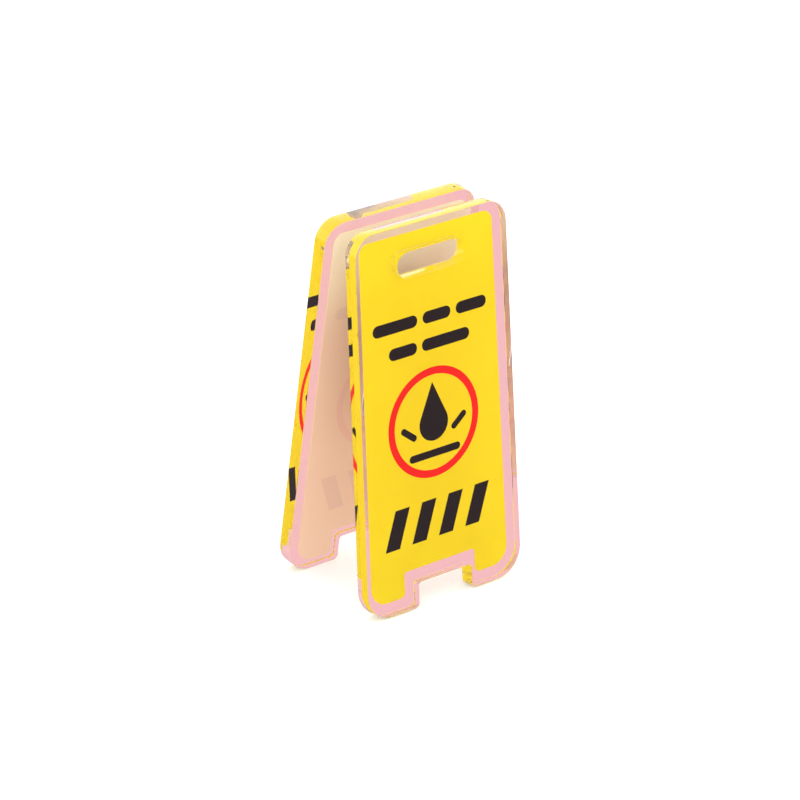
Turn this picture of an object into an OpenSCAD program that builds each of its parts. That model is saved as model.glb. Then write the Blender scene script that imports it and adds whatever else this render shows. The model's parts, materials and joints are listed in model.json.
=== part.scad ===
// Miniature A-frame wet floor sign: two clear acrylic panels, printed on
// their inner faces and stuck to the two halves of a small spring clip.
// Millimetres, +Z up, origin on the floor midway between the four feet,
// X across the sign, -Y is the front.

/* [Panels] */
// Width of a panel at its feet
panel_w = 35; // [30:0.5:42]
// Width of a panel at its top edge
panel_top_w = 33.2; // [31:0.1:34.5]
// Height of a panel along its own slope
panel_h = 70; // [66:0.5:76]
// Thickness of the acrylic sheet
panel_t = 2.8; // [2:0.1:3.4]
// Radius of the two top corners
top_r = 4; // [3:0.25:6]
// Radius of the two outer foot corners
foot_r = 5.4; // [4:0.2:6.5]
// Radius of the inner foot corners
toe_r = 1; // [0.4:0.1:1.6]
// Radius in the corners of the foot notch
notch_r = 0.6; // [0.3:0.1:1.2]
// Width of the notch between the feet
notch_w = 12; // [9:0.5:15]
// Height of the notch between the feet
notch_h = 4.6; // [4:0.1:6]
// Length of the hand slot
slot_w = 15.4; // [12:0.2:18]
// Height of the hand slot
slot_h = 4.5; // [4.2:0.1:5.4]
// Height of the hand slot's centre on the panel
slot_z = 62.8; // [61.5:0.1:63.2]

/* [Stance] */
// Lean of each panel from upright
lean = 6.5; // [5.5:0.1:7]
// Gap between the panels' inner faces at the floor
foot_gap = 20.6; // [20:0.1:22]

/* [Print] */
// Unprinted border round the print
border = 2.0; // [1.5:0.1:3]
// Gap between the print and the hand slot's edge
print_gap = 0.06; // [0.02:0.02:0.4]
// Thickness of one layer of ink
ink_t = 0.05; // [0.04:0.01:0.08]
// Height of the ring's centre on the panel
ring_z = 32.6; // [30:0.2:35]
// Outer radius of the ring
ring_r = 10.1; // [8:0.1:11]
// Width of the ring's stroke
ring_stroke = 1.4; // [1:0.1:2]

/* [Clip] */
// Width of the clip
clip_w = 12; // [11.6:0.1:12.4]
// Height of the clip's finger end on the panel
clip_low = 29; // [27:0.5:32]
// Height of the clip's jaw end on the panel
clip_high = 56; // [55:0.1:57]
// Thickness of a clip half's back plate
clip_t = 1.4; // [1.2:0.1:1.6]
// Thickness of the double-sided foam tape
tape_t = 0.8; // [0.6:0.1:1]
// Height of the pivot above the floor
pivot_z = 44; // [42:0.5:45]
// Diameter of the pivot pin
pin_d = 1.8; // [1.5:0.1:2]
// Diameter of the spring wire
wire_d = 0.5; // [0.4:0.05:0.6]

/* [Hidden] */
$fn = 64;

side_a = atan((panel_w - panel_top_w) / 2 / panel_h);

// Depths from a panel's inner face towards the middle of the sign
backing_e = ink_t;
tape_e = 2 * ink_t;
plate_e = tape_e + tape_t;
inside_e = plate_e + clip_t;

// The pivot in a panel's own frame
pivot_e = foot_gap / 2 * cos(lean) - pivot_z * sin(lean);
pivot_v = foot_gap / 2 * sin(lean) + pivot_z * cos(lean);
pin_play = 0.03;

// Ears: each half has one outer ear and one inner ear, so that two
// mouldings of the same shape interleave
ear_t = 1.2;
ear_r = 2.1;
ear_gap = 0.1;

// Coil of the torsion spring
coil_r = 1.4;
coil_turns = 5;
coil_x = -1.3;
leg_v = 36.5;

// Jaw teeth
tooth_count = 5;
tooth_deep = 0.35;
jaw_v = 50.2;
jaw_play = 0.06;

ink_yellow = "#fdd916";
ink_black = "#231f22";
ink_red = "#f01c16";
ink_white = "#f1dccb";
acrylic = [0.94, 0.74, 0.79, 0.45];
clear_abs = [0.88, 0.90, 0.92, 0.6];
foam_white = "#eef0ee";
steel = "#b9bcc0";

// Places children from the front panel's own frame: X across, Y from the
// inner face towards the middle of the sign, Z up the panel
module on_front() {
    translate([0, -foot_gap / 2, 0]) rotate([-lean, 0, 0]) children();
}

// The rear half is the front half turned half a turn about the upright
module on_rear() {
    rotate([0, 0, 180]) on_front() children();
}

// A flat shape drawn across and up the panel, between two depths
module layer(e, t) {
    translate([0, e + t, 0]) rotate([90, 0, 0]) linear_extrude(t) children();
}

// Outline of a panel, drawn in by a border all round
module panel_outline(m) {
    base_x = panel_w / 2 - m * tan(side_a) - m / cos(side_a);
    head_x = panel_w / 2 - (panel_h - m) * tan(side_a) - m / cos(side_a);
    rb = foot_r - m;
    rt = top_r - m;
    db = rb / tan((90 - side_a) / 2);
    dt = rt / tan((90 + side_a) / 2);
    high = panel_h - m;
    half = notch_w / 2 + m;
    roof = notch_h + m;
    difference() {
        union() {
            polygon([
                [base_x - db, m],
                [base_x - db * sin(side_a), m + db * cos(side_a)],
                [head_x + dt * sin(side_a), high - dt * cos(side_a)],
                [head_x - dt, high],
                [dt - head_x, high],
                [-head_x - dt * sin(side_a), high - dt * cos(side_a)],
                [db * sin(side_a) - base_x, m + db * cos(side_a)],
                [db - base_x, m]
            ]);
            for (s = [-1, 1]) {
                translate([s * (base_x - db), m + rb]) circle(r = rb);
                translate([s * (head_x - dt), high - rt]) circle(r = rt);
            }
        }
        translate([-half, m - 1]) square([2 * half, roof - notch_r - m + 1]);
        translate([notch_r - half, roof - notch_r - 1]) square([2 * (half - notch_r), notch_r + 1]);
        for (s = [-1, 1]) {
            translate([s * (half - notch_r), roof - notch_r]) circle(r = notch_r);
            mirror([s < 0 ? 1 : 0, 0]) difference() {
                translate([half - 1, m - 1]) square([toe_r + 1, toe_r + 1]);
                translate([half + toe_r, m + toe_r]) circle(r = toe_r);
            }
        }
    }
}

// A bar with round ends, about its own centre
module round_bar(w, h) {
    square([w - h, h], center = true);
    for (s = [-1, 1]) translate([s * (w - h) / 2, 0]) circle(d = h);
}

module slot_outline(grow) {
    translate([0, slot_z]) round_bar(slot_w + 2 * grow, slot_h + 2 * grow);
}

// Plain bars where a sign has its two lines of words
module word_bars() {
    bar_h = 2.2;
    for (b = [[-7.6, 51.9, 9.8], [1.6, 51.9, 6.2], [9.3, 51.9, 6.8],
              [-6.1, 47, 6.2], [3.4, 47, 10.6]])
        translate([b[0], b[1]]) round_bar(b[2], bar_h);
}

// A water drop above a puddle, with a splash on each side
module drop_mark() {
    drop_r = 3.2;
    drop_z = ring_z - 0.2;
    tip = 7.6;
    a = acos(drop_r / tip);
    steps = 48;
    around = [for (i = [0:steps]) a + i * (360 - 2 * a) / steps];
    translate([0, drop_z])
        polygon(concat([[0, tip]], [for (t = around) [drop_r * sin(t), drop_r * cos(t)]]));
    translate([0, ring_z - 5.7]) round_bar(11.4, 1.4);
    for (s = [-1, 1]) translate([s * 5.6, ring_z - 1]) rotate(s * 38) round_bar(4, 1.2);
}

// Four slanted hazard bars across the foot of the print
module hazard_bars() {
    for (i = [0:3]) {
        x = -9 + 6 * i;
        translate([x, 14.9]) polygon([[-2.9, -3.6], [0.3, -3.6], [2.9, 3.6], [-0.3, 3.6]]);
    }
}

module black_shapes() {
    word_bars();
    drop_mark();
    hazard_bars();
}

module ring_shape() {
    translate([0, ring_z]) difference() {
        circle(r = ring_r);
        circle(r = ring_r - ring_stroke);
    }
}

module panel() {
    color(acrylic) layer(-panel_t, panel_t) difference() {
        panel_outline(0);
        slot_outline(0);
    }
}

module yellow_print() {
    color(ink_yellow) layer(0, ink_t) difference() {
        panel_outline(border);
        slot_outline(print_gap);
        black_shapes();
        ring_shape();
    }
}

module black_marks() {
    color(ink_black) layer(0, ink_t) black_shapes();
}

module red_ring() {
    color(ink_red) layer(0, ink_t) ring_shape();
}

module white_backing() {
    color(ink_white) layer(backing_e, ink_t) difference() {
        panel_outline(border);
        slot_outline(print_gap);
    }
}

module tape_pad() {
    color(foam_white) translate([0.5 - clip_w / 2, tape_e, clip_low + 1.5])
        cube([clip_w - 1, tape_t, clip_high - clip_low - 3]);
}

// Flat back plate with a rounded finger end
module clip_plate() {
    finger_r = 3;
    layer(plate_e, clip_t) {
        translate([-clip_w / 2, clip_low + finger_r]) square([clip_w, clip_high - clip_low - finger_r]);
        translate([finger_r - clip_w / 2, clip_low]) square([clip_w - 2 * finger_r, finger_r + 1]);
        for (s = [-1, 1]) translate([s * (clip_w / 2 - finger_r), clip_low + finger_r]) circle(r = finger_r);
    }
}

// Depth of the sign's middle plane, seen from the panel at height v
function middle_e(v) = (foot_gap / 2 - v * sin(lean)) / cos(lean);

// Jaw with a row of teeth that meet at the middle plane
module jaw() {
    pitch = (clip_high - jaw_v) / tooth_count;
    teeth = [for (i = [0:tooth_count * 2])
        let (v = jaw_v + i * pitch / 2)
        [middle_e(v) - jaw_play - (i % 2 == 0 ? tooth_deep : 0), v]];
    outline = concat([[inside_e - 0.5, jaw_v - 1.6]], teeth, [[inside_e - 0.5, clip_high]]);
    translate([-clip_w / 2, 0, 0]) rotate([90, 0, 90]) linear_extrude(clip_w) polygon(outline);
}

// Ear that carries the pivot pin, from x to x + ear_t
module ear(x) {
    translate([x, 0, 0]) rotate([90, 0, 90]) linear_extrude(ear_t) {
        translate([pivot_e, pivot_v]) circle(r = ear_r);
        polygon([
            [inside_e - 0.5, pivot_v - 5.6], [pivot_e, pivot_v - ear_r],
            [pivot_e, pivot_v + ear_r], [inside_e - 0.5, pivot_v + 4.6]
        ]);
    }
}

module clip_half() {
    color(clear_abs) difference() {
        union() {
            clip_plate();
            jaw();
            ear(-clip_w / 2);
            ear(clip_w / 2 - 2 * ear_t - ear_gap);
        }
        translate([-clip_w, pivot_e, pivot_v]) rotate([0, 90, 0])
            cylinder(d = pin_d + 2 * pin_play, h = 2 * clip_w);
    }
}

module spring_leg(x) {
    run_e = inside_e + wire_d / 2 + 0.05 - (pivot_e - coil_r);
    run_v = leg_v - pivot_v;
    translate([x, pivot_e - coil_r, pivot_v]) rotate([atan2(-run_e, run_v), 0, 0])
        cylinder(d = wire_d, h = norm([run_e, run_v]));
}

// Close-wound turns about the pivot, from x towards +X
module spring_turns(x, turns) {
    translate([x, pivot_e, pivot_v]) rotate([0, 90, 0]) rotate_extrude() {
        for (i = [0:turns - 1]) translate([coil_r, i * wire_d]) circle(d = wire_d, $fn = 32);
        if (turns > 1) translate([coil_r - wire_d / 4, 0]) square([wire_d / 2, (turns - 1) * wire_d]);
    }
}

module front_panel() { on_front() panel(); }
module front_yellow_print() { on_front() yellow_print(); }
module front_black_marks() { on_front() black_marks(); }
module front_red_ring() { on_front() red_ring(); }
module front_white_backing() { on_front() white_backing(); }
module front_tape_pad() { on_front() tape_pad(); }
module front_clip_half() { on_front() clip_half(); }

// Steel pin with a riveted head at each end
module pivot_pin() {
    head_t = 0.5;
    reach = clip_w / 2 + 0.05;
    color(steel) translate([0, 0, pivot_z]) rotate([0, 90, 0]) {
        translate([0, 0, -reach - head_t / 2]) cylinder(d = pin_d, h = 2 * reach + head_t);
        for (s = [-1, 1]) translate([0, 0, s * (reach + head_t / 2) - head_t / 2])
            cylinder(d = pin_d + 1.2, h = head_t);
    }
}

// Coil and front leg; the last turn and the rear leg move with the rear half
module torsion_spring() {
    color(steel) on_front() {
        spring_turns(coil_x, coil_turns);
        spring_leg(coil_x);
    }
}

module torsion_spring_rear_leg() {
    rear_x = coil_x + 0.05;
    color(steel) on_rear() {
        spring_turns(rear_x, 1);
        spring_leg(rear_x);
    }
}

module rear_clip_half() { on_rear() clip_half(); }
module rear_tape_pad() { on_rear() tape_pad(); }
module rear_white_backing() { on_rear() white_backing(); }
module rear_red_ring() { on_rear() red_ring(); }
module rear_black_marks() { on_rear() black_marks(); }
module rear_yellow_print() { on_rear() yellow_print(); }
module rear_panel() { on_rear() panel(); }

front_panel();
front_yellow_print();
front_black_marks();
front_red_ring();
front_white_backing();
front_tape_pad();
front_clip_half();
pivot_pin();
torsion_spring();
torsion_spring_rear_leg();
rear_clip_half();
rear_tape_pad();
rear_white_backing();
rear_red_ring();
rear_black_marks();
rear_yellow_print();
rear_panel();
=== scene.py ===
import json
import math

import bmesh
import bpy
from mathutils import Matrix, Vector


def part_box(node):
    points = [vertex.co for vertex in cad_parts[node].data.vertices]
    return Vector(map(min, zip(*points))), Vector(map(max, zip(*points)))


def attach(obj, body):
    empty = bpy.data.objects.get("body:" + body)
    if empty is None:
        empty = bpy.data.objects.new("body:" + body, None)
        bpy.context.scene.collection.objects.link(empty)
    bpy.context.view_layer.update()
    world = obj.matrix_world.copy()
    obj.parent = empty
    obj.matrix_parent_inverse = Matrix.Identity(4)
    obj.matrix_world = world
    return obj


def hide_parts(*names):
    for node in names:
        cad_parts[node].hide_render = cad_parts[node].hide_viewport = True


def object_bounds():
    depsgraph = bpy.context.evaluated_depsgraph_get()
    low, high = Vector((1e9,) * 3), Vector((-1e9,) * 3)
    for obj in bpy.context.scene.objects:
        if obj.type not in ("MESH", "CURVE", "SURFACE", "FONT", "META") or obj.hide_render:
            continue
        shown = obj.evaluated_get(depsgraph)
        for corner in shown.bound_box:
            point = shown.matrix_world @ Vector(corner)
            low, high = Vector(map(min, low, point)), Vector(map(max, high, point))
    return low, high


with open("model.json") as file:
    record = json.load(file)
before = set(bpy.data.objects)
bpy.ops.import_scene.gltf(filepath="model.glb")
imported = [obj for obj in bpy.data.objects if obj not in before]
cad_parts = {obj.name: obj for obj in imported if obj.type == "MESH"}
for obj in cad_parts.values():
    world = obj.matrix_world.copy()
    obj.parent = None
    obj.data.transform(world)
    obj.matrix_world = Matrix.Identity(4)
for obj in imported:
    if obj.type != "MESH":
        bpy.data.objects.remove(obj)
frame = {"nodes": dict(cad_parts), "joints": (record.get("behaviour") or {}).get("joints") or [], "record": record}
cad_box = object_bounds()


# ---------------------------------------------------------------- panels
# Each panel is 2.8 mm cast acrylic sheet, laser cut to shape, so its faces
# are mirror smooth and its cut edges are clear with fine ripples. The print
# is on the inner face and wets it, with no air between.
MM = 0.001
SHEET_THICK = 2.8 * MM
CORNER_EASE = 0.11 * MM
WETTING = 0.02 * MM
SAME_POINT = 0.001 * MM
SAME_PLANE = math.radians(0.5)
SHADES_SMOOTH = math.radians(40)
ACRYLIC_IOR = 1.49

mounts = {m["name"]: m for m in frame["record"]["mounts"]}


def panel_axes(side):
    """Matrix from a panel's own axes (across, inwards, up the slope) to the row frame."""
    inwards = -Vector(mounts[side + "_face"]["axis"])
    foot = mounts[side + "_right_foot"]
    up = -Vector(foot["axis"])
    across = inwards.cross(up)
    start = Vector(foot["pos_m"]) + inwards * SHEET_THICK / 2
    start.x = 0
    return Matrix.Translation(start) @ Matrix((across, inwards, up)).transposed().to_4x4()


def cad_copy(node, to_local, into=None):
    """A CAD node's mesh with its triangles joined up, in a bmesh on the panel's own axes."""
    bm = into or bmesh.new()
    old = set(bm.verts)
    bm.from_mesh(frame["nodes"][node].data)
    fresh = [v for v in bm.verts if v not in old]
    bmesh.ops.remove_doubles(bm, verts=fresh, dist=SAME_POINT)
    fresh = [v for v in bm.verts if v not in old]
    edges = [e for e in bm.edges if e.verts[0] not in old]
    bmesh.ops.dissolve_limit(bm, angle_limit=SAME_PLANE, verts=fresh, edges=edges)
    fresh = [v for v in bm.verts if v not in old]
    bmesh.ops.transform(bm, matrix=to_local, verts=fresh)
    return bm


def ease_corners(bm, width, segments=2, sharper_than=50):
    """Rounds every outside corner edge of a piece by a small width."""
    sharp = [e for e in bm.edges
             if len(e.link_faces) == 2 and e.is_convex
             and e.calc_face_angle() > math.radians(sharper_than)]
    bmesh.ops.bevel(bm, geom=sharp, offset=width, offset_type="OFFSET", affect="EDGES",
                    segments=segments, profile=0.5, material=-1, clamp_overlap=True)


def shade(bm, flat_above):
    """Faces square to the sheet and big faces stay flat; those that round a corner shade smooth."""
    for face in bm.faces:
        square_to_sheet = abs(face.normal.y) > 0.9999
        face.smooth = not square_to_sheet and face.calc_area() < flat_above
    for edge in bm.edges:
        if len(edge.link_faces) == 2:
            edge.smooth = edge.calc_face_angle() < SHADES_SMOOTH


def piece(name, bm, to_row, body, materials, nodes):
    """Puts a finished bmesh into the scene as one piece of the sign."""
    bm.transform(to_row)
    mesh = bpy.data.meshes.new(name)
    bm.to_mesh(mesh)
    bm.free()
    for material in materials:
        mesh.materials.append(material)
    made = bpy.data.objects.new(name, mesh)
    bpy.context.scene.collection.objects.link(made)
    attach(made, body)
    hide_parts(*nodes)


def linear(colour):
    """An sRGB hex colour as linear red, green, blue and alpha."""
    parts = [int(colour[i:i + 2], 16) / 255 for i in (1, 3, 5)]
    return (*[c / 12.92 if c <= 0.04045 else ((c + 0.055) / 1.055) ** 2.4 for c in parts], 1.0)


def add(tree, kind, settings=None, links=None):
    """Adds one shader node. A setting in small letters is the node's own, and the rest are
    inputs by name or place; links gives the outputs that inputs are linked to."""
    made = tree.nodes.new("ShaderNode" + kind)
    for name, value in (settings or {}).items():
        if isinstance(name, str) and name.islower():
            setattr(made, name, value)
        else:
            made.inputs[name].default_value = value
    for name, output in (links or {}).items():
        tree.links.new(output, made.inputs[name])
    return made


def new_material(name):
    """An empty node material and its tree."""
    material = bpy.data.materials.new(name)
    material.use_nodes = True
    material.node_tree.nodes.clear()
    return material, material.node_tree


def pattern_at(tree, size_mm, stretch=(1, 1, 1), turn=0.0, detail=2.0):
    """An uneven pattern on Object coordinates, with spots about size_mm across."""
    where = add(tree, "TexCoord")
    placed = add(tree, "Mapping", {"Scale": stretch, "Rotation": (turn, 0, 0)},
                 {"Vector": where.outputs["Object"]})
    return add(tree, "TexNoise", {"Scale": 1000 / size_mm, "Detail": detail},
               {"Vector": placed.outputs["Vector"]})


# Cast acrylic, polished face: perfectly clear, with the odd soft hairline
# rub that only shows in a reflection.
def polished_acrylic(name, tint):
    material, tree = new_material(name)
    rubs = pattern_at(tree, 1.6, stretch=(1, 1, 0.25), detail=4.0)
    rough = add(tree, "MapRange", {"From Min": 0.55, "From Max": 0.8, "To Min": 0.0, "To Max": 0.035},
                {"Value": rubs.outputs["Fac"]})
    body = add(tree, "BsdfPrincipled",
               {"Base Color": linear(tint), "IOR": ACRYLIC_IOR, "Transmission Weight": 1.0},
               {"Roughness": rough.outputs["Result"]})
    add(tree, "OutputMaterial", links={"Surface": body.outputs["BSDF"]})
    return material


# Laser-cut acrylic edge: clear too, but the beam leaves shallow ripples
# across the thickness, about four to the millimetre.
def laser_cut_acrylic(side, lean):
    material, tree = new_material("acrylic, laser-cut edge, " + side)
    ripples = pattern_at(tree, 0.28, stretch=(1, 0.08, 1), turn=lean, detail=1.0)
    bump = add(tree, "Bump", {"Strength": 0.06, "Distance": 0.02 * MM},
               {"Height": ripples.outputs["Fac"]})
    body = add(tree, "BsdfPrincipled",
               {"Base Color": linear("#FFFDFC"), "IOR": ACRYLIC_IOR, "Transmission Weight": 1.0,
                "Roughness": 0.02},
               {"Normal": bump.outputs["Normal"]})
    add(tree, "OutputMaterial", links={"Surface": body.outputs["BSDF"]})
    return material


# The unprinted border has a light rose tint, which shows wherever the eye
# looks out through the inner face.
face_acrylic = polished_acrylic("acrylic, polished face", "#FFFFFF")
border_acrylic = polished_acrylic("acrylic, rose-tinted border", "#F6E4E6")

FACE, BORDER, CUT_EDGE = 0, 1, 2
axes = {side: panel_axes(side) for side in ("front", "rear")}
for side in ("front", "rear"):
    lean = math.asin(axes[side].col[2].y)
    bm = cad_copy(side + "_panel", axes[side].inverted())
    inner = [v for v in bm.verts if v.co.y > -SAME_POINT]
    bmesh.ops.translate(bm, verts=inner, vec=(0, WETTING, 0))
    ease_corners(bm, CORNER_EASE)
    bm.normal_update()
    for face in bm.faces:
        facing = face.normal.y
        face.material_index = BORDER if facing > 0.99 else FACE if facing < -0.99 else CUT_EDGE
    shade(bm, flat_above=100 * MM * MM)
    piece(side + "_acrylic_sheet", bm, axes[side], side + "_side",
          [face_acrylic, border_acrylic, laser_cut_acrylic(side, -lean)], [side + "_panel"])


# ---------------------------------------------------------------- print
# UV-cured inks printed straight on the acrylic: yellow with its marks
# knocked out, and black and red in the gaps. They are the solids of the
# design, three on each panel.

# A Mix node's colour sockets share their names with its number sockets, so
# they are known by their places.
MIX_SHARE, MIX_FROM, MIX_TO, MIX_OUT = 0, 6, 7, 2


# UV ink seen through clear sheet: full, even colour with no gloss of its
# own, only the printer's fine grain and a slight cloudiness.
def ink(name, colour, deeper):
    material, tree = new_material(name)
    grain = pattern_at(tree, 0.25, detail=3.0)
    cloud = pattern_at(tree, 9.0, detail=1.0)
    both = add(tree, "Math", {"operation": "MULTIPLY_ADD", 1: 0.35},
               {0: grain.outputs["Fac"], 2: cloud.outputs["Fac"]})
    share = add(tree, "MapRange", {"From Min": 0.4, "From Max": 1.0}, {"Value": both.outputs["Value"]})
    shades = add(tree, "Mix", {"data_type": "RGBA", MIX_FROM: linear(colour), MIX_TO: linear(deeper)},
                 {MIX_SHARE: share.outputs["Result"]})
    body = add(tree, "BsdfPrincipled", {"Roughness": 0.5, "Specular IOR Level": 0.0},
               {"Base Color": shades.outputs[MIX_OUT]})
    add(tree, "OutputMaterial", links={"Surface": body.outputs["BSDF"]})
    return material


inks = {
    "yellow_print": ink("yellow UV ink under acrylic", "#FDE01A", "#FBDB14"),
    "black_marks": ink("black UV ink under acrylic", "#120C10", "#0E0A0D"),
    "red_ring": ink("red UV ink under acrylic", "#FF1E18", "#F61812"),
}
for side in ("front", "rear"):
    for part, material in inks.items():
        shown = frame["nodes"][side + "_" + part]
        shown.data.materials.clear()
        shown.data.materials.append(material)


# ---------------------------------------------------------------- white backing
# A thin coat of white ink over the back of the colours. It isn't quite
# opaque, so the marks show through as faint shadows, which are copies of
# them raised just clear of the coat; their darker tone is partly the inks
# behind and partly painted shade. Its peach is partly the yellow behind and
# partly painted light that comes through the print, and towards the top it
# is painted paler, as painted light falling in from above.
RELIEF = 0.003 * MM
COAT = 0.05 * MM
# Heights over which the coat is painted paler towards the top: painted light from above, not a change in the ink.
PAINTED_TOP_LIGHT_FROM = 44 * MM
PAINTED_TOP_LIGHT_TO = 66 * MM
# A faint peach glow painted on the coat: painted light standing in for light that comes through the print into the
# dim gap between the panels.
PAINTED_GLOW_COLOUR = "#F7C19A"
PAINTED_GLOW_STRENGTH = 0.13


# White UV ink, open to the air: satin, with the print head's fine bands.
# Its peach is partly the yellow behind it and partly painted light through
# the print, it is painted paler towards the top as painted light from
# above, and a little light that soaks through from the outer face is
# painted on as a faint glow.
def backing_ink(name, painted_peach, pale):
    material, tree = new_material(name)
    where = add(tree, "TexCoord")
    height = add(tree, "SeparateXYZ", links={"Vector": where.outputs["Object"]})
    # Painted light: the coat is painted paler higher up the panel.
    painted_top_light = add(tree, "MapRange",
               {"interpolation_type": "SMOOTHSTEP", "From Min": PAINTED_TOP_LIGHT_FROM, "From Max": PAINTED_TOP_LIGHT_TO},
               {"Value": height.outputs["Z"]})
    bands = pattern_at(tree, 0.45, stretch=(0.02, 1, 1), detail=1.0)
    grain = pattern_at(tree, 0.2, detail=2.0)
    uneven = add(tree, "MapRange", {"To Min": -0.05, "To Max": 0.05}, {"Value": bands.outputs["Fac"]})
    share = add(tree, "Math", {"operation": "ADD", "use_clamp": True},
                {0: painted_top_light.outputs["Result"], 1: uneven.outputs["Result"]})
    shades = add(tree, "Mix", {"data_type": "RGBA", MIX_FROM: linear(painted_peach), MIX_TO: linear(pale)},
                 {MIX_SHARE: share.outputs["Value"]})
    relief = add(tree, "Math", {"operation": "ADD"},
                 {0: bands.outputs["Fac"], 1: grain.outputs["Fac"]})
    bump = add(tree, "Bump", {"Strength": 0.25, "Distance": 0.01 * MM},
               {"Height": relief.outputs["Value"]})
    # The emission is the painted glow: painted light for what soaks through the print.
    body = add(tree, "BsdfPrincipled",
               {"Roughness": 0.42, "IOR": 1.5, "Emission Color": linear(PAINTED_GLOW_COLOUR),
                "Emission Strength": PAINTED_GLOW_STRENGTH},
               {"Base Color": shades.outputs[MIX_OUT], "Normal": bump.outputs["Normal"]})
    add(tree, "OutputMaterial", links={"Surface": body.outputs["BSDF"]})
    return material


# Each coat runs from its peach low down to its paler top: the peach partly painted light through the print, the
# paler top painted light, and the darker tones over black and red partly painted shade.
backing_inks = [
    backing_ink("white UV ink over yellow", "#CEB096", "#D3C9AC"),
    backing_ink("white UV ink over black", "#C4A591", "#CCBEA5"),
    backing_ink("white UV ink over red", "#CDA492", "#D3BCA6"),
]
for side in ("front", "rear"):
    to_local = axes[side].inverted()
    raised = Matrix.Translation((0, COAT + RELIEF, 0))
    bm = cad_copy(side + "_white_backing", to_local)
    for index, part in ((1, "black_marks"), (2, "red_ring")):
        before = set(bm.faces)
        cad_copy(side + "_" + part, raised @ to_local, into=bm)
        for face in bm.faces:
            if face not in before:
                face.material_index = index
    shade(bm, flat_above=0)
    piece(side + "_backing_coat", bm, axes[side], side + "_side",
          backing_inks, [side + "_white_backing"])


# ---------------------------------------------------------------- foam tape
# Double-sided foam tape holds each clip half to the print. It is creamy
# white closed-cell foam, die cut, so its sides show tiny cut cells, and its
# glue wets the clip with no air between. Its cream is partly the foam's own
# tone and partly painted warm light from the peach gap around it.
TAPE_EASE = 0.12 * MM
CELL_SIZE_MM = 0.22


# PE foam: dull and chalky, pitted with cells a fifth of a millimetre across,
# with a little light carried inside it. Each cell's hollow is painted darker,
# a painted shade, and its cream is partly painted warm light.
def cell_foam():
    material, tree = new_material("white PE foam tape")
    where = add(tree, "TexCoord")
    cells = add(tree, "TexVoronoi", {"Scale": 1000 / CELL_SIZE_MM}, {"Vector": where.outputs["Object"]})
    # Painted shade: the colour darkens towards each cell's middle, where the bump dips; the cream is partly
    # painted warm light.
    shades = add(tree, "ValToRGB", links={"Fac": cells.outputs["Distance"]})
    shades.color_ramp.elements[0].color = linear("#EADFD3")
    shades.color_ramp.elements[1].color = linear("#FBF5EC")
    bump = add(tree, "Bump", {"Strength": 0.6, "Distance": 0.05 * MM},
               {"Height": cells.outputs["Distance"]})
    body = add(tree, "BsdfPrincipled", {"Roughness": 0.85, "Subsurface Weight": 0.15,
                                        "Subsurface Scale": 0.4 * MM},
               {"Base Color": shades.outputs["Color"], "Normal": bump.outputs["Normal"]})
    add(tree, "OutputMaterial", links={"Surface": body.outputs["BSDF"]})
    return material


foam = cell_foam()
for side in ("front", "rear"):
    bm = cad_copy(side + "_tape_pad", axes[side].inverted())
    clip_face = max(v.co.y for v in bm.verts)
    ease_corners(bm, TAPE_EASE, segments=3)
    stuck = [v for v in bm.verts if v.co.y > clip_face - SAME_POINT]
    bmesh.ops.translate(bm, verts=stuck, vec=(0, WETTING, 0))
    shade(bm, flat_above=5 * MM * MM)
    piece(side + "_foam_pad", bm, axes[side], side + "_side", [foam],
          [side + "_tape_pad"])


# ---------------------------------------------------------------- clip halves
# Two injection mouldings of clear ABS from one mould, turned to face each
# other, with toothed jaws above and ears that lap round the pin.
PLATE_THICK = 1.4 * MM
MOULD_EASE = 0.12 * MM
ABS_IOR = 1.54


# Clear ABS, moulded: glassy but a touch softer and warmer than acrylic,
# with faint flow waves down its length.
def moulded_clear(name):
    material, tree = new_material(name)
    flow = pattern_at(tree, 2.5, stretch=(1, 1, 0.3), detail=2.0)
    bump = add(tree, "Bump", {"Strength": 0.08, "Distance": 0.05 * MM},
               {"Height": flow.outputs["Fac"]})
    body = add(tree, "BsdfPrincipled",
               {"Base Color": linear("#F8F4EF"), "IOR": ABS_IOR, "Transmission Weight": 1.0,
                "Roughness": 0.06},
               {"Normal": bump.outputs["Normal"]})
    add(tree, "OutputMaterial", links={"Surface": body.outputs["BSDF"]})
    return material


clear_plastic = moulded_clear("clear ABS, moulded")
for side in ("front", "rear"):
    bm = cad_copy(side + "_clip_half", axes[side].inverted())
    ease_corners(bm, MOULD_EASE)
    shade(bm, flat_above=3 * MM * MM)
    piece(side + "_clip_moulding", bm, axes[side], side + "_side",
          [clear_plastic], [side + "_clip_half"])


# ---------------------------------------------------------------- pivot pin
# A nickel-plated steel rivet pin through the four ears, headed over at
# both ends, so each head is a low dome with a turned edge.
PIN_RADIUS = 0.9 * MM
HEAD_THICK = 0.5 * MM
PIN_STEPS = 48
# A head from its middle outwards: shares of its radius, and of its thickness from the outside in.
HEAD_SHAPE = [(0.0, 0.0), (0.55, 0.04), (0.85, 0.25), (1.0, 0.6), (1.0, 0.9), (0.97, 1.0)]

pivot = Vector(frame["joints"][0]["pos_m"])


# Nickel plate: warm silver, with fine turning rings that break up the shine.
def plated(name):
    material, tree = new_material(name)
    rings = pattern_at(tree, 0.12, stretch=(1, 0.05, 0.05), detail=1.0)
    rough = add(tree, "MapRange", {"To Min": 0.16, "To Max": 0.3}, {"Value": rings.outputs["Fac"]})
    body = add(tree, "BsdfPrincipled", {"Base Color": linear("#C9C6C0"), "Metallic": 1.0},
               {"Roughness": rough.outputs["Result"]})
    add(tree, "OutputMaterial", links={"Surface": body.outputs["BSDF"]})
    return material


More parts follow.
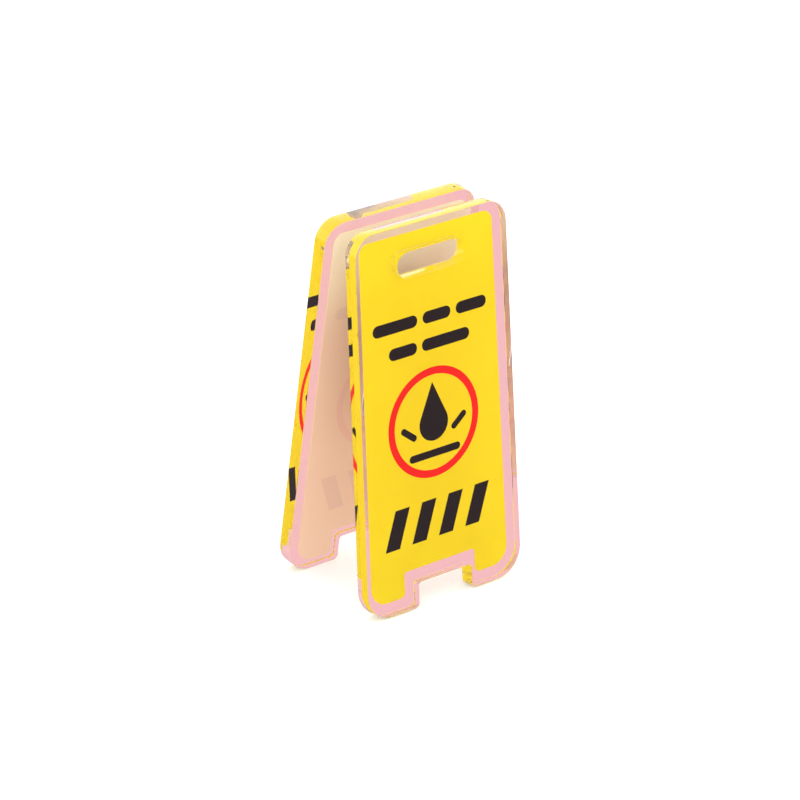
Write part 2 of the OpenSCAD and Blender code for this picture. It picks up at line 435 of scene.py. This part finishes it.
low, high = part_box("pivot_pin")
head_radius = (high.z - low.z) / 2
half = high.x
head = [(r * head_radius, half - depth * HEAD_THICK) for r, depth in HEAD_SHAPE]
head.append((PIN_RADIUS, half - HEAD_THICK))
profile = head + [(r, -x) for r, x in reversed(head)]
bm = bmesh.new()
line = [bm.verts.new((x, 0, r)) for r, x in profile]
for a, b in zip(line, line[1:]):
    bm.edges.new((a, b))
bmesh.ops.spin(bm, geom=bm.verts[:] + bm.edges[:], cent=(0, 0, 0), axis=(1, 0, 0), dvec=(0, 0, 0),
               angle=2 * math.pi, steps=PIN_STEPS, use_merge=True)
bmesh.ops.remove_doubles(bm, verts=bm.verts, dist=SAME_POINT)
bmesh.ops.recalc_face_normals(bm, faces=bm.faces)
shade(bm, flat_above=1)
piece("pivot_rivet", bm, Matrix.Translation(pivot), "front_side",
      [plated("nickel-plated steel")], ["pivot_pin"])


# ---------------------------------------------------------------- torsion spring
# Bright music wire wound about four and a half turns round the pin. Each
# end runs down and presses its clip half outwards, which keeps the jaws shut.
# The last turn or so and the rear leg are one piece, on the rear half.
WIRE_RADIUS = 0.25 * MM
WIRE_SIDES = 14
COIL_RADIUS = 1.4 * MM
LEG_CLEAR = 0.05 * MM
TURNS = 4.5
STEPS_A_TURN = 40
REAR_SHARE = math.radians(390)
OVERLAP = math.radians(30)


# Music wire: dark bright steel, with drawing lines that soften the shine.
def drawn_wire(name):
    material, tree = new_material(name)
    drawn = pattern_at(tree, 0.15, stretch=(0.4, 1, 1), detail=2.0)
    rough = add(tree, "MapRange", {"To Min": 0.22, "To Max": 0.38}, {"Value": drawn.outputs["Fac"]})
    body = add(tree, "BsdfPrincipled", {"Base Color": linear("#A9A9A8"), "Metallic": 1.0},
               {"Roughness": rough.outputs["Result"]})
    add(tree, "OutputMaterial", links={"Surface": body.outputs["BSDF"]})
    return material


music_wire = drawn_wire("music wire, bright drawn")
node_of = {"front": "torsion_spring", "rear": "torsion_spring_rear_leg"}
leg_x = {"front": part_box("torsion_spring")[0].x + WIRE_RADIUS,
         "rear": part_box("torsion_spring_rear_leg")[1].x - WIRE_RADIUS}


def leg_foot(side):
    """Middle of the wire at the bottom of a leg, against its clip half's inner face."""
    to_local = axes[side].inverted()
    wire = [to_local @ v.co for v in frame["nodes"][node_of[side]].data.vertices]
    lowest = min(p.z for p in wire)
    tape = frame["nodes"][side + "_tape_pad"].data.vertices
    plate = max((to_local @ v.co).y for v in tape) + PLATE_THICK
    return axes[side] @ Vector((0, plate + WIRE_RADIUS + LEG_CLEAR, lowest + WIRE_RADIUS))


def tangent_angle(side):
    """Angle about the pin, up from the front, at which the leg leaves the coil."""
    foot = leg_foot(side) - pivot
    reach = math.hypot(foot.y, foot.z)
    foot_angle = math.atan2(foot.z, -foot.y)
    swing = math.acos(COIL_RADIUS / reach)
    return foot_angle + swing if side == "front" else foot_angle - swing


start = tangent_angle("front")
finish = tangent_angle("rear") % (2 * math.pi)
whole = finish - start + 2 * math.pi * math.floor(TURNS - (finish - start) / (2 * math.pi) + 0.5)
pitch = (leg_x["rear"] - leg_x["front"]) / whole

for side, begin, sweep in (("front", start, whole - REAR_SHARE + OVERLAP),
                           ("rear", finish, -REAR_SHARE)):
    bm = bmesh.new()
    place = (Matrix.Translation((leg_x[side], 0, 0)) @ Matrix.Rotation(-begin, 4, "X")
             @ Matrix.Translation((0, -COIL_RADIUS, 0)))
    ring = bmesh.ops.create_circle(bm, cap_ends=False, radius=WIRE_RADIUS, segments=WIRE_SIDES,
                                   matrix=place)
    first = list(ring["verts"])
    steps = round(abs(sweep) / (2 * math.pi) * STEPS_A_TURN)
    bmesh.ops.spin(bm, geom=first + bm.edges[:], cent=(0, 0, 0), axis=(-1, 0, 0), angle=sweep,
                   steps=steps, dvec=(pitch * sweep / steps, 0, 0))
    foot = leg_foot(side) - pivot
    foot.x = leg_x[side]
    top = Vector((leg_x[side], -COIL_RADIUS * math.cos(begin), COIL_RADIUS * math.sin(begin)))
    rim = [e for e in bm.edges if e.is_boundary and all(v in first for v in e.verts)]
    grown = bmesh.ops.extrude_edge_only(bm, edges=rim)["geom"]
    grown = [g for g in grown if isinstance(g, bmesh.types.BMVert)]
    bmesh.ops.translate(bm, verts=grown, vec=foot - top)
    bmesh.ops.holes_fill(bm, edges=[e for e in bm.edges if e.is_boundary], sides=0)
    bmesh.ops.recalc_face_normals(bm, faces=bm.faces)
    shade(bm, flat_above=1)
    piece(side + "_spring_wire", bm, Matrix.Translation(pivot), side + "_side",
          [music_wire], [node_of[side]])


# ---------------------------------------------------------------- stage
# A plain pale floor and an even white light tent, brightest round the sides.
# Seen straight through clear plastic, both have a rose cast, like a tinted
# card behind the sign, so the clear borders read as pink on every side.
CARD_ROSE = "#FCC8CB"
FLOOR_HALF = 3.0
TENT_STRENGTH = 1.8
TENT_STARTS = -0.2
TENT_BELOW = (0.32, 0.23, 0.24, 1)
TENT_SIDES = (1.0, 1.0, 1.0, 1)
TENT_ROOF = (0.86, 0.86, 0.86, 1)


def seen_through_clear(tree):
    """1 for a ray that has only gone through clear plastic, and 0 for light that falls on things."""
    ray = add(tree, "LightPath")
    straight = add(tree, "Math", {"operation": "LESS_THAN", 1: 0.5}, {0: ray.outputs["Diffuse Depth"]})
    return add(tree, "Math", {"operation": "MULTIPLY"},
               {0: ray.outputs["Is Transmission Ray"], 1: straight.outputs["Value"]})


def pale_floor():
    """A matt pale sheet under the sign. Shiny faces don't mirror it, so dark print stays dark."""
    bm = bmesh.new()
    bmesh.ops.create_grid(bm, x_segments=1, y_segments=1, size=FLOOR_HALF)
    mesh = bpy.data.meshes.new("floor")
    bm.to_mesh(mesh)
    bm.free()
    floor = bpy.data.objects.new("floor", mesh)
    floor.location.z = cad_box[0].z
    bpy.context.scene.collection.objects.link(floor)
    material, tree = new_material("pale matt floor")
    pale = add(tree, "BsdfDiffuse", {"Color": linear("#EBEBEB")})
    rose = add(tree, "Emission", {"Color": linear(CARD_ROSE)})
    seen = add(tree, "MixShader", links={"Fac": seen_through_clear(tree).outputs["Value"],
                                         1: pale.outputs["BSDF"], 2: rose.outputs["Emission"]})
    material.cycles.emission_sampling = "NONE"
    add(tree, "OutputMaterial", links={"Surface": seen.outputs["Shader"]})
    mesh.materials.append(material)
    floor.visible_glossy = False


pale_floor()

world = bpy.data.worlds.new("light tent")
bpy.context.scene.world = world
world.use_nodes = True
tree = world.node_tree
tree.nodes.clear()
where = add(tree, "TexCoord")
height = add(tree, "SeparateXYZ", links={"Vector": where.outputs["Generated"]})
share = add(tree, "MapRange", {"From Min": TENT_STARTS, "From Max": 1.0}, {"Value": height.outputs["Z"]})
sky = add(tree, "ValToRGB", links={"Fac": share.outputs["Result"]})
sky.color_ramp.elements[0].color = TENT_BELOW
sky.color_ramp.elements[1].color = TENT_ROOF
for share_up in (0.25, 0.5):
    sky.color_ramp.elements.new(share_up).color = TENT_SIDES
light = add(tree, "Background", {"Strength": TENT_STRENGTH}, {"Color": sky.outputs["Color"]})
card = add(tree, "Background", {"Color": linear(CARD_ROSE)})
seen = add(tree, "MixShader", links={"Fac": seen_through_clear(tree).outputs["Value"],
                                     1: light.outputs["Background"], 2: card.outputs["Background"]})
add(tree, "OutputWorld", links={"Surface": seen.outputs["Shader"]})


def softbox(name, watts, size, turn, tilt, distance):
    """A square area light that faces the sign, tilted from overhead and turned about the upright."""
    lamp = bpy.data.lights.new(name, "AREA")
    lamp.shape = "SQUARE"
    lamp.size = size
    lamp.energy = watts
    box = bpy.data.objects.new(name, lamp)
    box.matrix_world = (Matrix.Rotation(math.radians(turn), 4, "Z")
                        @ Matrix.Rotation(math.radians(tilt), 4, "X")
                        @ Matrix.Translation((0, 0, distance)))
    box.visible_camera = False
    box.visible_transmission = False
    bpy.context.scene.collection.objects.link(box)


softbox("key softbox", watts=1.2, size=0.5, turn=-65, tilt=42, distance=0.8)
softbox("side fill", watts=3.0, size=0.4, turn=90, tilt=80, distance=0.6)

# Light bounces many times inside clear sheet before it finds its way out.
scene = bpy.context.scene
scene.view_settings.view_transform = "Standard"
scene.cycles.use_denoising = True
scene.cycles.max_bounces = 24
scene.cycles.transmission_bounces = 24
scene.cycles.glossy_bounces = 12
scene.cycles.diffuse_bounces = 6


# ---------------------------------------------------------------- camera
# At the front left and a little above, with a long lens, so the upright
# edges stay nearly parallel.
AZIMUTH = math.radians(-39.99)
ELEVATION = math.radians(25.172)
ROLL = math.radians(1.896)
DISTANCE = 668.343 * MM
SIDEWAYS = 0.875 * MM
UPWARDS = 1.548 * MM
AIM_HEIGHT = 32 * MM
LENS = 171.94
SENSOR = 36

look = Vector((-math.sin(AZIMUTH) * math.cos(ELEVATION), math.cos(AZIMUTH) * math.cos(ELEVATION),
               -math.sin(ELEVATION)))
level = Vector((math.cos(AZIMUTH), math.sin(AZIMUTH), 0))
above = level.cross(look)
right = math.cos(ROLL) * level + math.sin(ROLL) * above
upper = -math.sin(ROLL) * level + math.cos(ROLL) * above
lens = bpy.data.cameras.new("camera")
lens.lens = LENS
lens.sensor_width = SENSOR
camera = bpy.data.objects.new("camera", lens)
eye = Vector((0, 0, AIM_HEIGHT)) - right * SIDEWAYS + upper * UPWARDS - look * DISTANCE
camera.matrix_world = Matrix.Translation(eye) @ Matrix((right, upper, -look)).transposed().to_4x4()
scene.collection.objects.link(camera)
scene.camera = camera
